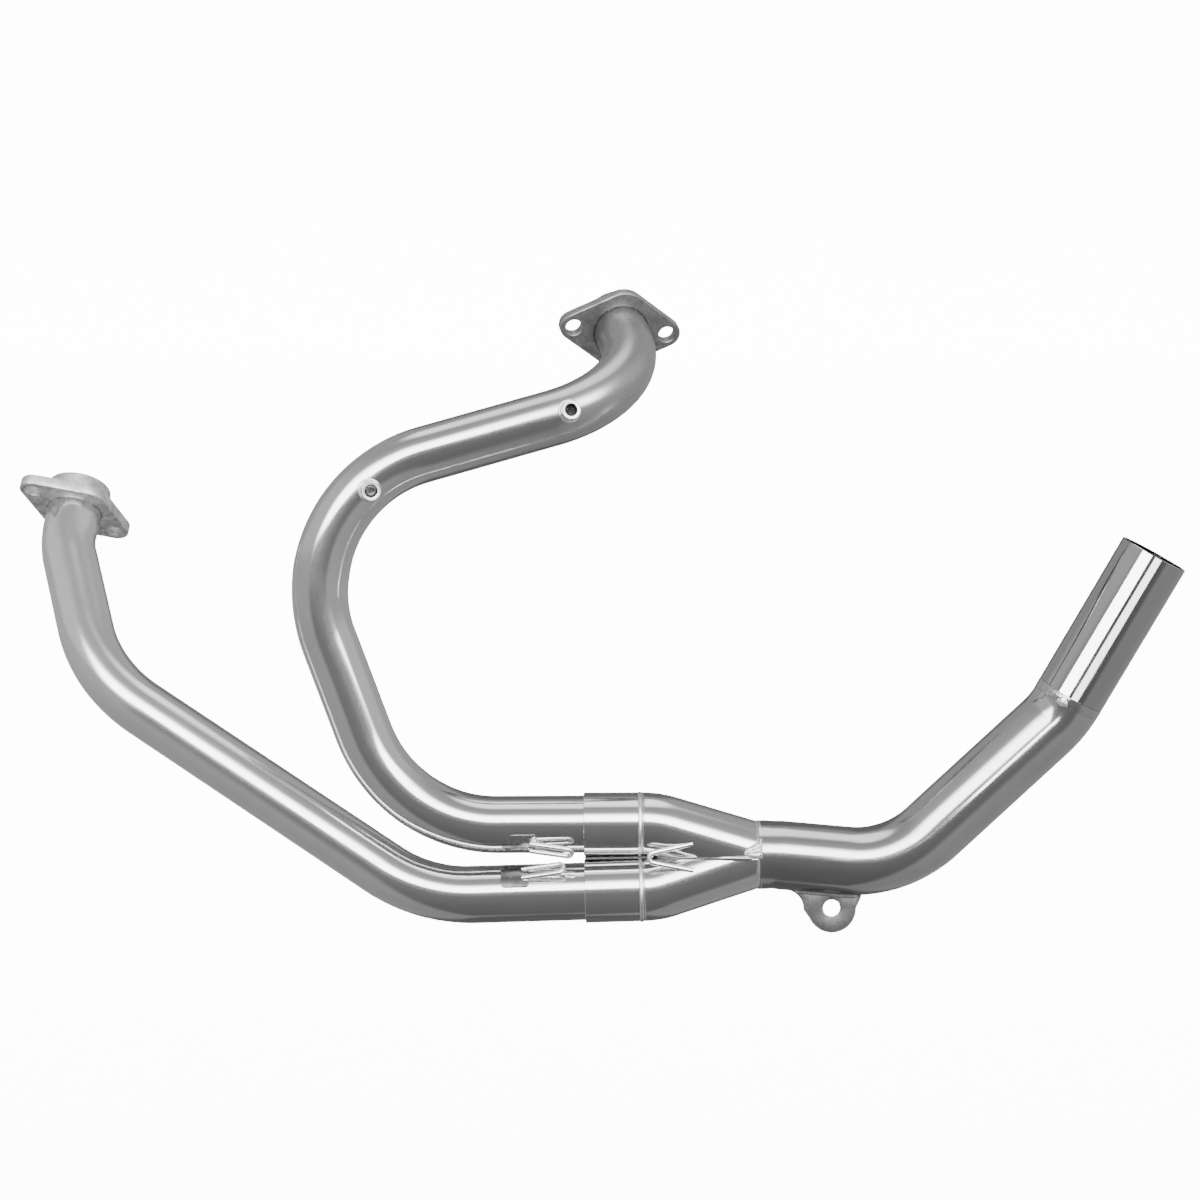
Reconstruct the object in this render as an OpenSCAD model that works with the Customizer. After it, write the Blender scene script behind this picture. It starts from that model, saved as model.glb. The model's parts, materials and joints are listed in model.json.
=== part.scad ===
// Two-into-one exhaust header for a V-twin motorcycle.
// Two bent header tubes run from the cylinder ports to a merge collector,
// then one outlet tube carries a hanger tab and turns up to the tail.
// Units are millimetres. The origin is the centre of the hanger tab hole,
// X runs towards the outlet, Z is up and Y points at the engine.

/* [Header tubes] */
// Outside diameter of both header tubes
tube_od = 40; // [34:0.5:46]
// Wall of every tube
tube_wall = 1.5; // [1.2:0.1:2]
// Front tube, run from the collector to its first bend
front_run_1 = 119; // [100:1:140]
// Front tube, first bend radius
front_radius_1 = 110; // [90:5:130]
// Front tube, first bend angle
front_bend_1 = 35; // [30:0.5:40]
// Front tube, long diagonal run
front_run_2 = 210; // [190:1:230]
// Front tube, second bend radius
front_radius_2 = 115; // [95:5:135]
// Front tube, second bend angle
front_bend_2 = 40.5; // [35:0.5:45]
// Front tube, upright run
front_run_3 = 64; // [55:1:75]
// Front tube, port bend radius
front_radius_3 = 65; // [55:5:80]
// Front tube, port bend angle
front_bend_3 = 21.5; // [16:0.5:27]
// Rear tube, run from the collector to its first bend
rear_run_1 = 101; // [90:1:115]
// Rear tube, first bend radius
rear_radius_1 = 100; // [85:5:115]
// Rear tube, first bend angle
rear_bend_1 = 69.5; // [64:0.5:75]
// Rear tube, rising run
rear_run_2 = 68; // [55:1:80]
// Rear tube, turn radius of the big bend
rear_radius_2 = 100; // [90:5:115]
// Rear tube, first part of the big bend
rear_bend_2 = 28.5; // [24:0.5:33]
// Rear tube, second part of the big bend
rear_bend_3 = 66; // [60:0.5:71]
// Rear tube, long run under the test bosses
rear_run_3 = 95; // [85:1:110]
// Rear tube, port bend radius
rear_radius_4 = 75; // [60:5:90]
// Rear tube, port bend angle
rear_bend_4 = 86.5; // [80:0.5:92]

/* [Port flanges] */
// Distance between the two stud holes
stud_spacing = 72; // [66:1:80]
// Diameter of the stud holes
stud_hole_d = 12; // [9:0.5:13]
// Rounding of the flange ends
ear_radius = 10.5; // [9:0.5:13]
// Half height of the flange across its middle
flange_half_height = 31; // [28:0.5:36]
// Rounding of the flange top and bottom
lobe_radius = 19; // [14:0.5:24]
// Flange thickness
flange_thickness = 9; // [7:0.5:12]
// Length of the sealing collar past the flange
collar_reach = 12; // [9:0.5:15]
// Thickness of the collar wall
collar_wall = 3.5; // [2.5:0.5:5]

/* [Collector] */
// Distance between the two collector inlets
inlet_spacing = 46; // [45:0.5:60]
// Wall of the slip sleeves and the collector legs
sleeve_wall = 2; // [1.5:0.1:2.5]
// Length of each slip sleeve
sleeve_length = 41; // [30:1:50]
// Angle at which the two legs meet
merge_angle = 17.5; // [15:0.5:22]
// Distance from the inlets to the neck
merge_length = 80; // [72:1:100]
// Bend radius at the start of each leg
merge_radius = 60; // [45:5:80]

/* [Outlet] */
// Outside diameter of the outlet tube and tail
outlet_od = 48; // [46:0.5:54]
// Outlet tube, run from the collector to its bend
outlet_run_1 = 46; // [38:1:60]
// Outlet tube, bend radius
outlet_radius = 80; // [60:5:100]
// Outlet tube, bend angle
outlet_bend_1 = 47.5; // [40:0.5:55]
// Outlet tube, rising run
outlet_run_2 = 108; // [90:1:130]
// Outlet tube, short bend before the tail
outlet_bend_2 = 22; // [10:0.5:30]
// Length of the tail
tail_length = 119; // [90:1:140]

/* [Hanger tab] */
// Diameter of the hanger hole
hanger_hole_d = 12; // [8:0.5:14]
// Radius of the tab around the hole
hanger_radius = 17; // [14:0.5:22]
// Thickness of the tab
hanger_thickness = 4; // [3:0.5:6]

/* [Bosses and hooks] */
// Size across the flats of the test bosses
boss_flats = 13; // [11:0.5:17]
// Thread size of the test bosses
boss_thread = 8; // [6:1:10]
// Height of the test bosses above the tube
boss_height = 6; // [4:0.5:9]
// Wire diameter of the spring hooks
hook_wire = 3.5; // [3:0.5:5]
// Inside width of the spring hooks
hook_gap = 3.5; // [3:0.5:6]
// Length of the spring hooks
hook_length = 31; // [24:1:36]

/* [Hidden] */
$fn = 96;

tube_r = tube_od / 2;
bore_r = tube_r - tube_wall;
sleeve_r = tube_r + sleeve_wall;
leg_bore_r = sleeve_r - tube_wall;
outlet_r = outlet_od / 2;
outlet_bore_r = outlet_r - tube_wall;
stud_hole_r = stud_hole_d / 2;
hanger_hole_r = hanger_hole_d / 2;

// Position of the collector, measured from the hanger hole
inlet_x = -132;
collector_z = 36;
collector_tilt = 1;
inlet_splay = 0.7;
slip_gap = 2;

// Sealing collar on each tube end
collar_lip = 2;
collar_r = tube_r + collar_wall;
collar_bore_r = bore_r - 1;
flange_slack = 0.4;
flange_start = collar_reach - collar_lip;
front_flange_roll = 45;
rear_flange_roll = 20;

// Marks left at the ends of each bend
mark_width = 1;
mark_height = 0.02;

// Weld beads
bead_width = 6;
bead_height = 1;
inlet_bead = 3.5;
inlet_bead_height = 0.7;
seam_width = 3.2;
seam_height = 1;
seam_start = 22;
neck_bead = 4.5;
neck_bead_height = 0.9;

// Hanger tab outline
hanger_top = 16;
hanger_left = 31;
hanger_right = 20.6;
hanger_flare = 14;

// Bosses: how far round its bend each one stands, and its angle around the tube
boss_drill_r = 2.5;
boss_bore_r = boss_thread / 2;
boss_floor = 1;
upper_boss_turn = 7;
upper_boss_roll = 0;
lower_boss_turn = 39;
lower_boss_roll = 13;
plug_recess = 1;

// Spring hooks: distance from the collector inlet and angle around the tube
pad_thickness = 1.5;
pad_length = 20;
pad_width = 18;
rear_pad_along = 83;
rear_pad_turn = 40;
front_pad_along = 89;
front_pad_turn = 44;
hook_rise = 11;
wire_r = hook_wire / 2;
hook_r = hook_gap / 2 + wire_r;
collector_hook_length = 30;

// Bend tables: straight, bend radius, bend angle, roll before the bend
front_port_run = 35;
front_bends = [
    [front_run_1 - slip_gap, front_radius_1, front_bend_1, 16],
    [front_run_2, front_radius_2, front_bend_2, 21],
    [front_run_3, front_radius_3, front_bend_3, -11.5],
    [front_port_run, 0, 0, 0]
];
rear_port_run = 43;
rear_bends = [
    [rear_run_1 - slip_gap, rear_radius_1, rear_bend_1, 0],
    [rear_run_2, rear_radius_2, rear_bend_2, 2.5],
    [0, rear_radius_2, rear_bend_3, 4],
    [rear_run_3, rear_radius_4, rear_bend_4, 124.5],
    [rear_port_run, 0, 0, 0]
];
front_leg = [
    [0, merge_radius, merge_angle - inlet_splay, 180],
    [merge_length, 0, 0, 0]
];
rear_leg = [
    [0, merge_radius, merge_angle - inlet_splay, 0],
    [merge_length, 0, 0, 0]
];
outlet_bends = [
    [6, 90, 6, 0],
    [outlet_run_1, outlet_radius, outlet_bend_1, 180],
    [outlet_run_2, 60, outlet_bend_2, 31]
];
tail_bends = [[tail_length - bead_width, 0, 0, 0]];

function shift(x, y, z) = [[1, 0, 0, x], [0, 1, 0, y], [0, 0, 1, z], [0, 0, 0, 1]];
function turn_y(a) = [[cos(a), 0, sin(a), 0], [0, 1, 0, 0], [-sin(a), 0, cos(a), 0], [0, 0, 0, 1]];
function turn_z(a) = [[cos(a), -sin(a), 0, 0], [sin(a), cos(a), 0, 0], [0, 0, 1, 0], [0, 0, 0, 1]];
function bend(radius, angle) = shift(radius, 0, 0) * turn_y(angle) * shift(-radius, 0, 0);
function next(row) = shift(0, 0, row[0]) * turn_z(row[3]) * bend(row[1], row[2]);
function along(rows, n) = n == 0 ? shift(0, 0, 0) : along(rows, n - 1) * next(rows[n - 1]);

// Frames whose Z axis follows the gas path or runs against it
collector_frame = shift(inlet_x, 0, collector_z) * turn_y(-collector_tilt);
front_side = collector_frame * shift(0, 0, -inlet_spacing / 2);
rear_side = collector_frame * shift(0, 0, inlet_spacing / 2);
front_inlet = front_side * turn_y(-90 - inlet_splay);
rear_inlet = rear_side * turn_y(-90 + inlet_splay);
front_start = front_inlet * shift(0, 0, slip_gap);
rear_start = rear_inlet * shift(0, 0, slip_gap);
front_merge = front_side * turn_y(90 - inlet_splay);
rear_merge = rear_side * turn_y(90 + inlet_splay);
front_port = front_start * along(front_bends, len(front_bends));
rear_port = rear_start * along(rear_bends, len(rear_bends));
outlet_start = collector_frame * shift(merge_length, 0, 0) * turn_y(90);
tail_start = outlet_start * along(outlet_bends, len(outlet_bends));
outlet_level = outlet_start * along(outlet_bends, 1);
outlet_turn = outlet_level * shift(0, 0, outlet_run_1) * turn_z(180);

// Frames of the small fittings, Z pointing out of the tube
port_roll = rear_bends[3][3];
port_bend_frame = rear_start * along(rear_bends, 3) * shift(0, 0, rear_run_3) * turn_z(port_roll);
upper_boss_frame = port_bend_frame * bend(rear_radius_4, upper_boss_turn)
    * turn_z(upper_boss_roll - port_roll - 90) * turn_y(90);
big_bend_frame = rear_start * along(rear_bends, 2) * turn_z(rear_bends[2][3]);
lower_boss_frame = big_bend_frame * bend(rear_radius_2, lower_boss_turn)
    * turn_z(lower_boss_roll - 90) * turn_y(90);
rear_pad_frame = rear_inlet * shift(0, 0, rear_pad_along) * turn_z(-90 - rear_pad_turn);
front_pad_frame = front_inlet * shift(0, 0, front_pad_along) * turn_z(-90 + front_pad_turn);

// Round bar that follows a bend table, hollow when it has a bore.
// A hair-thin mark stands at both ends of every bend and ties the runs together.
module bar(rows, start, r, bore = 0) {
    last = len(rows) - 1;
    for (i = [0 : last]) {
        row = rows[i];
        multmatrix(start * along(rows, i)) {
            if (row[0] > 0)
                linear_extrude(height = row[0])
                    section(r, bore);
            if (row[2] > 0)
                multmatrix(shift(0, 0, row[0]) * turn_z(row[3]))
                    elbow(row[1], row[2], r, bore);
            if (row[0] > 0 && row[2] > 0)
                translate([0, 0, row[0]])
                    bend_mark(r, bore);
        }
        if (row[2] > 0 && i < last)
            multmatrix(start * along(rows, i + 1))
                bend_mark(r, bore);
    }
}

module bend_mark(r, bore) {
    translate([0, 0, -mark_width / 2])
        linear_extrude(height = mark_width)
            section(r + mark_height, bore > 0 ? bore - mark_height : 0);
}

module elbow(radius, angle, r, bore = 0) {
    multmatrix([[-1, 0, 0, radius], [0, 0, 1, 0], [0, 1, 0, 0], [0, 0, 0, 1]])
        rotate_extrude(angle = angle)
            translate([radius, 0])
                section(r, bore);
}

module section(r, bore) {
    difference() {
        circle(r = r);
        if (bore > 0)
            circle(r = bore);
    }
}

// Ring of weld with a rounded crown on a tube of radius r, going right
// through the wall where a depth is given
module bead(r, width, height, depth = 0) {
    q = (width * width / 4 + height * height) / (2 * height);
    rotate_extrude() {
        intersection() {
            translate([r - q + height, 0])
                circle(r = q);
            translate([r - depth / 2, -width / 2])
                square([height + 1 + depth / 2, width]);
        }
        if (depth > 0)
            translate([r - depth, -width / 2])
                square([depth, width]);
    }
}

module front_header_tube() {
    color("silver")
        bar(front_bends, front_start, tube_r, bore_r);
}

module rear_header_tube() {
    color("silver")
        difference() {
            bar(rear_bends, rear_start, tube_r, bore_r);
            multmatrix(upper_boss_frame)
                cylinder(h = tube_r + 1, r = boss_drill_r);
        }
}

// Two-hole flange, its sealing side at the end of the port frame
module port_flange(frame) {
    multmatrix(frame * shift(0, 0, -flange_start - flange_thickness))
        difference() {
            linear_extrude(height = flange_thickness)
                flange_outline();
            translate([0, 0, -1])
                cylinder(h = flange_thickness + 2, r = tube_r + flange_slack);
            for (side = [-1, 1])
                translate([side * stud_spacing / 2, 0, -1])
                    cylinder(h = flange_thickness + 2, r = stud_hole_r);
        }
}

// Lozenge made from four corner circles joined by their outer tangents
module flange_outline() {
    half = stud_spacing / 2;
    lobe_y = flange_half_height - lobe_radius;
    reach = sqrt(half * half + lobe_y * lobe_y);
    tilt = atan2(lobe_y, half) + asin((lobe_radius - ear_radius) / reach);
    ear_x = half + ear_radius * sin(tilt);
    ear_y = ear_radius * cos(tilt);
    top_x = lobe_radius * sin(tilt);
    top_y = lobe_y + lobe_radius * cos(tilt);
    for (side = [-1, 1]) {
        translate([side * half, 0])
            circle(r = ear_radius);
        translate([0, side * lobe_y])
            circle(r = lobe_radius);
    }
    polygon([
        [ear_x, ear_y], [top_x, top_y], [-top_x, top_y], [-ear_x, ear_y],
        [-ear_x, -ear_y], [-top_x, -top_y], [top_x, -top_y], [ear_x, -ear_y]
    ]);
}

// Sealing ring that covers the tube end and stops the flange
module port_collar(frame) {
    multmatrix(frame * shift(0, 0, -flange_start))
        difference() {
            cylinder(h = collar_reach, r = collar_r);
            translate([0, 0, -1])
                cylinder(h = flange_start + 1, r = tube_r);
            translate([0, 0, flange_start - 1])
                cylinder(h = collar_lip + 2, r = collar_bore_r);
        }
}

module front_port_flange() {
    color("gray")
        port_flange(front_port * turn_z(front_flange_roll));
}

module rear_port_flange() {
    color("gray")
        port_flange(rear_port * turn_z(rear_flange_roll));
}

module front_port_collar() {
    color("gray")
        port_collar(front_port);
}

module rear_port_collar() {
    color("gray")
        port_collar(rear_port);
}

module slip_sleeve(frame) {
    multmatrix(frame)
        difference() {
            cylinder(h = sleeve_length, r = sleeve_r);
            translate([0, 0, -1])
                cylinder(h = sleeve_length + 2, r = tube_r);
        }
}

module front_slip_sleeve() {
    color("silver")
        slip_sleeve(front_inlet);
}

module rear_slip_sleeve() {
    color("silver")
        slip_sleeve(rear_inlet);
}

module front_sleeve_weld() {
    color("dimgray")
        multmatrix(front_inlet * shift(0, 0, inlet_bead / 2))
            bead(sleeve_r, inlet_bead, inlet_bead_height);
}

module rear_sleeve_weld() {
    color("dimgray")
        multmatrix(rear_inlet * shift(0, 0, inlet_bead / 2))
            bead(sleeve_r, inlet_bead, inlet_bead_height);
}

// Both legs as solid bars, cut off at the neck
module legs(grow) {
    intersection() {
        union() {
            bar(front_leg, front_merge, sleeve_r + grow);
            bar(rear_leg, rear_merge, sleeve_r + grow);
        }
        multmatrix(collector_frame)
            translate([-20, -50, -80])
                cube([merge_length + 20, 100, 160]);
    }
}

// One leg on its own side of the collector, opened by its own bore
module leg(rows, start, side) {
    difference() {
        intersection() {
            bar(rows, start, sleeve_r);
            multmatrix(collector_frame)
                translate([-20, -50, side > 0 ? 0 : -80])
                    cube([merge_length + 20, 100, 80]);
        }
        bar(rows, start, leg_bore_r);
    }
}

module collector_front_leg() {
    color("silver")
        leg(front_leg, front_merge, -1);
}

module collector_rear_leg() {
    color("silver")
        leg(rear_leg, rear_merge, 1);
}

// Weld that follows the valley where the two legs meet
module collector_seam_weld() {
    color("dimgray")
        difference() {
            intersection() {
                legs(seam_height);
                multmatrix(collector_frame)
                    translate([seam_start, -50, -seam_width / 2])
                        cube([merge_length - seam_start, 100, seam_width]);
            }
            legs(0);
        }
}

// Ring of weld on the end of the outlet tube, against the collector neck
module neck_weld() {
    color("dimgray")
        multmatrix(outlet_start * shift(0, 0, neck_bead / 2))
            bead(outlet_r, neck_bead, neck_bead_height);
}

// Wire hook with its nose at the origin and its legs running along X
module wire_hook(length, spread) {
    translate([hook_r, 0, 0])
        rotate([0, 0, 90 + spread])
            rotate_extrude(angle = 180 - 2 * spread)
                translate([hook_r, 0])
                    circle(r = wire_r);
    for (side = [-1, 1])
        translate([hook_r * (1 - sin(spread)), side * hook_r * cos(spread), 0])
            rotate([0, 0, side * spread])
                rotate([0, 90, 0]) {
                    cylinder(h = length, r = wire_r);
                    translate([0, 0, -mark_width / 4])
                        cylinder(h = mark_width / 2, r = wire_r + 2 * mark_height);
                }
}

module collector_hook() {
    color("silver")
        difference() {
            multmatrix(collector_frame)
                translate([4, -sleeve_r + 1.5, 1.5])
                    rotate([90, 0, 0])
                        wire_hook(collector_hook_length, 12);
            legs(0);
        }
}

// Curved pad on a header tube, frame Z along the tube and X out of it
module hook_saddle(frame) {
    multmatrix(frame)
        intersection() {
            difference() {
                translate([0, 0, -pad_length / 2])
                    cylinder(h = pad_length, r = tube_r + pad_thickness);
                translate([0, 0, -pad_length])
                    cylinder(h = 2 * pad_length, r = tube_r);
            }
            translate([0, -pad_width / 2, -pad_length])
                cube([2 * tube_r, pad_width, 2 * pad_length]);
        }
}

// Wire loop rising off the pad towards the collector
module hook_loop(frame) {
    multmatrix(frame)
        difference() {
            translate([tube_r + pad_thickness + wire_r - 1, 0, 5 - pad_length / 2])
                rotate([0, 90 - hook_rise, 0])
                    translate([hook_length, 0, 0])
                        rotate([0, 0, 180])
                            wire_hook(hook_length - hook_r, 0);
            translate([0, 0, -60])
                cylinder(h = 120, r = tube_r + pad_thickness);
        }
}

module rear_hook_saddle() {
    color("silver")
        hook_saddle(rear_pad_frame);
}

module rear_hook_loop() {
    color("silver")
        hook_loop(rear_pad_frame);
}

module front_hook_saddle() {
    color("silver")
        hook_saddle(front_pad_frame);
}

module front_hook_loop() {
    color("silver")
        hook_loop(front_pad_frame);
}

// Hexagonal weld boss standing on the tube, threaded down to a floor with a drilled hole
module test_boss(frame) {
    multmatrix(frame)
        difference() {
            translate([0, 0, tube_r - 3])
                cylinder(h = boss_height + 3, r = boss_flats / sqrt(3), $fn = 6);
            translate([0, 0, tube_r - 4])
                cylinder(h = boss_height + 5, r = boss_drill_r);
            translate([0, 0, tube_r + boss_floor])
                cylinder(h = boss_height, r = boss_bore_r);
        }
}

module upper_test_boss() {
    color("silver")
        difference() {
            test_boss(upper_boss_frame);
            multmatrix(port_bend_frame)
                elbow(rear_radius_4, rear_bend_4, tube_r);
        }
}

module lower_test_boss() {
    color("silver")
        difference() {
            test_boss(lower_boss_frame);
            multmatrix(big_bend_frame)
                elbow(rear_radius_2, rear_bend_3, tube_r);
        }
}

module lower_test_plug() {
    color("gray")
        multmatrix(lower_boss_frame)
            translate([0, 0, tube_r + boss_floor])
                cylinder(h = boss_height - boss_floor - plug_recess, r = boss_bore_r);
}

module outlet_tube() {
    color("silver")
        bar(outlet_bends, outlet_start, outlet_r, outlet_bore_r);
}

module outlet_tail() {
    color("silver")
        bar(tail_bends, tail_start * shift(0, 0, bead_width), outlet_r, outlet_bore_r);
}

// Butt weld that joins the outlet tube and the tail
module tail_weld() {
    color("dimgray")
        multmatrix(tail_start * shift(0, 0, bead_width / 2))
            bead(outlet_r, bead_width, bead_height, tube_wall);
}

module hanger_outline() {
    difference() {
        union() {
            circle(r = hanger_radius);
            polygon([
                [-hanger_left, hanger_top + 6], [-hanger_left, hanger_top - 4],
                [-hanger_radius, -3], [hanger_radius, 0],
                [hanger_right, hanger_top / 2], [hanger_right, hanger_top + 6]
            ]);
        }
        translate([-hanger_left - 2.5, -1])
            circle(r = hanger_flare);
        circle(r = hanger_hole_r);
    }
}

module hanger_tab() {
    color("gray")
        difference() {
            rotate([90, 0, 0])
                translate([0, 0, -hanger_thickness / 2])
                    linear_extrude(height = hanger_thickness)
                        hanger_outline();
            multmatrix(outlet_level)
                cylinder(h = outlet_run_1, r = outlet_r);
            multmatrix(outlet_turn)
                elbow(outlet_radius, outlet_bend_1, outlet_r);
        }
}

// Beads along both sides of the tab where it meets the outlet tube
module hanger_weld() {
    color("dimgray")
        difference() {
            intersection() {
                multmatrix(outlet_level)
                    cylinder(h = outlet_run_1, r = outlet_r + 1.6);
                translate([-hanger_left + 3, -hanger_thickness / 2 - 2.5, 0])
                    cube([hanger_left + 3, hanger_thickness + 5, hanger_top + 6]);
            }
            multmatrix(outlet_level)
                cylinder(h = outlet_run_1, r = outlet_r);
            translate([-hanger_left, -hanger_thickness / 2, -1])
                cube([hanger_left + hanger_right, hanger_thickness, hanger_top + 10]);
        }
}

front_header_tube();
rear_header_tube();
front_port_flange();
rear_port_flange();
front_port_collar();
rear_port_collar();
front_slip_sleeve();
rear_slip_sleeve();
front_sleeve_weld();
rear_sleeve_weld();
collector_front_leg();
collector_rear_leg();
collector_seam_weld();
neck_weld();
collector_hook();
front_hook_saddle();
front_hook_loop();
rear_hook_saddle();
rear_hook_loop();
upper_test_boss();
lower_test_boss();
lower_test_plug();
outlet_tube();
tail_weld();
outlet_tail();
hanger_tab();
hanger_weld();
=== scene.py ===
import bpy
import bmesh
import json
from math import asin, atan2, ceil, cos, degrees, floor, hypot, pi, radians, sin, sqrt
from mathutils import Matrix, Vector, noise

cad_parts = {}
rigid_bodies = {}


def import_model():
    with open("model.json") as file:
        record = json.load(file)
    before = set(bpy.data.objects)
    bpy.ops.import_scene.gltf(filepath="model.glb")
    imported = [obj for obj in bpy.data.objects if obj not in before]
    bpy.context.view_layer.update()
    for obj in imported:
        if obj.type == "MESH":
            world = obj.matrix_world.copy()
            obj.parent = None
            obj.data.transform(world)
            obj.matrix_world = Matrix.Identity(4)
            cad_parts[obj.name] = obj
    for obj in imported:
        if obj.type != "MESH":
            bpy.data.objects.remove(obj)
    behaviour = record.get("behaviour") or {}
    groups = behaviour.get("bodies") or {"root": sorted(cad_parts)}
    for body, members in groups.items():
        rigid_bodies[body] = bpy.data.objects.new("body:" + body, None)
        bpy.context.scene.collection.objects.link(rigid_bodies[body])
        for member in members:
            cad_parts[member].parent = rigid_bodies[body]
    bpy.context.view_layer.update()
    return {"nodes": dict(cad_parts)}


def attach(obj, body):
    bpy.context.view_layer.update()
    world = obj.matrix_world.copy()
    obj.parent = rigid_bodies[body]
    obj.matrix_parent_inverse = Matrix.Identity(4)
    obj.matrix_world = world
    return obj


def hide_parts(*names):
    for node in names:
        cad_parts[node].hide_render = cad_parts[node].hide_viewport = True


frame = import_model()
print("frame loaded,", len(frame["nodes"]), "CAD nodes")

mm = 0.001  # shapes are worked out in millimetres, as in the part's source, and scaled once


def shift(x, y, z):
    return Matrix.Translation((x, y, z))


def turnX(degrees):
    return Matrix.Rotation(radians(degrees), 4, "X")


def turnY(degrees):
    return Matrix.Rotation(radians(degrees), 4, "Y")


def turnZ(degrees):
    return Matrix.Rotation(radians(degrees), 4, "Z")


def bendStep(radius, degrees):
    return shift(radius, 0, 0) @ turnY(degrees) @ shift(-radius, 0, 0)


# Frame after the first rows of a route
def along(rows, count):
    step = Matrix.Identity(4)
    for straight, radius, angle, roll in rows[:count]:
        step = step @ (shift(0, 0, straight) @ turnZ(roll) @ bendStep(radius, angle))
    return step


# Frame part of the way round one of a route's bends
def inBend(start, rows, index, degrees):
    straight, radius, _, roll = rows[index]
    return start @ along(rows, index) @ shift(0, 0, straight) @ turnZ(roll) @ bendStep(radius, degrees)


def axisOf(place):
    return place.to_3x3() @ Vector((0, 0, 1))


# Angle round a frame's axis at which a direction lies
def angleRound(place, direction):
    local = place.to_3x3().inverted() @ Vector(direction)
    return atan2(local.y, local.x)


# Angles that go once round
def turns(count):
    return [2 * pi * j / count for j in range(count)]


def evenly(first, last, count):
    return [first + (last - first) * i / (count - 1) for i in range(count)]


def polar(r, a, z=0.0):
    return Vector((r * cos(a), r * sin(a), z))


# Routes: straight, bend radius, bend angle, roll before the bend
route = {
    "front": [(117, 110, 35, 16), (210, 115, 40.5, 21), (64, 65, 21.5, -11.5), (35, 0, 0, 0)],
    "rear": [(99, 100, 69.5, 0), (68, 100, 28.5, 2.5), (0, 100, 66, 4), (95, 75, 86.5, 124.5),
             (43, 0, 0, 0)],
    "outlet": [(6, 90, 6, 0), (46, 80, 47.5, 180), (108, 60, 22, 31)],
}
tube = {
    "radius": 20.0, "bore": 18.5, "sleeve": 22.0, "outlet": 24.0, "outletBore": 22.5,
    "insert": 2, "slip": 0.02,
}
collector = {
    "place": (-132, 0, 36), "dip": -1, "half": 23, "splay": 0.7, "length": 80.0, "mergeRadius": 60.0,
    "turn": 16.8, "neckHalf": 1.5, "wall": 1.5, "around": 72, "bendRings": 14, "runRings": 26,
    "seamFrom": 22, "seamSide": 3,
}

collectorFrame = shift(*collector["place"]) @ turnY(collector["dip"])
turnCollector = collectorFrame.to_3x3()
sides = {"front": -1, "rear": 1}  # which side of the collector's middle plane each leg lies on
inlet = {side: collectorFrame @ shift(0, 0, way * collector["half"]) @ turnY(way * collector["splay"] - 90)
         for side, way in sides.items()}
tubeStart = {side: inlet[side] @ shift(0, 0, tube["insert"]) for side in sides}
port = {side: tubeStart[side] @ along(route[side], len(route[side])) for side in sides}
outletStart = collectorFrame @ shift(collector["length"], 0, 0) @ turnY(90)
tailStart = outletStart @ along(route["outlet"], 3)


def newMaterial(name):
    material = bpy.data.materials.new(name)
    material.use_nodes = True
    tree = material.node_tree
    return material, tree, tree.nodes["Principled BSDF"]


def node(tree, kind, **settings):
    made = tree.nodes.new(kind)
    for key, value in settings.items():
        setattr(made, key, value)
    return made


def scaled(tree, source, factors):
    stretch = node(tree, "ShaderNodeVectorMath", operation="MULTIPLY")
    tree.links.new(source, stretch.inputs[0])
    stretch.inputs[1].default_value = factors
    return stretch.outputs[0]


def speckle(tree, source, detail=4.0, rough=0.55):
    cloud = node(tree, "ShaderNodeTexNoise")
    cloud.inputs["Scale"].default_value = 1.0
    cloud.inputs["Detail"].default_value = detail
    cloud.inputs["Roughness"].default_value = rough
    tree.links.new(source, cloud.inputs["Vector"])
    return cloud.outputs["Fac"]


def ranged(tree, source, low, high, outLow, outHigh, curve="LINEAR"):
    span = node(tree, "ShaderNodeMapRange", interpolation_type=curve)
    tree.links.new(source, span.inputs["Value"])
    for key, value in (("From Min", low), ("From Max", high), ("To Min", outLow), ("To Max", outHigh)):
        span.inputs[key].default_value = value
    return span.outputs["Result"]


def maths(tree, operation, first, second):
    made = node(tree, "ShaderNodeMath", operation=operation)
    for index, value in enumerate((first, second)):
        if isinstance(value, (int, float)):
            made.inputs[index].default_value = value
        else:
            tree.links.new(value, made.inputs[index])
    return made.outputs[0]


def blendColour(tree, amount, first, second):
    mix = node(tree, "ShaderNodeMix", data_type="RGBA")
    tree.links.new(amount, mix.inputs["Factor"])
    for key, value in (("A", first), ("B", second)):
        socket = [s for s in mix.inputs if s.name == key and s.type == "RGBA"][0]
        if isinstance(value, tuple):
            socket.default_value = value
        else:
            tree.links.new(value, socket)
    return [s for s in mix.outputs if s.type == "RGBA"][0]


def grey(value, warm=0.0):
    return (value * (1 + warm), value, value * (1 - warm), 1.0)


# Joins colour, roughness and a fine bump to a bare metal
def finishMetal(tree, shader, colour, rough, height, strength, distance):
    tree.links.new(colour, shader.inputs["Base Color"])
    tree.links.new(rough, shader.inputs["Roughness"])
    shader.inputs["Metallic"].default_value = 1.0
    bump = node(tree, "ShaderNodeBump")
    bump.inputs["Strength"].default_value = strength
    bump.inputs["Distance"].default_value = distance
    tree.links.new(height, bump.inputs["Height"])
    tree.links.new(bump.outputs["Normal"], shader.inputs["Normal"])
    return bump


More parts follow.
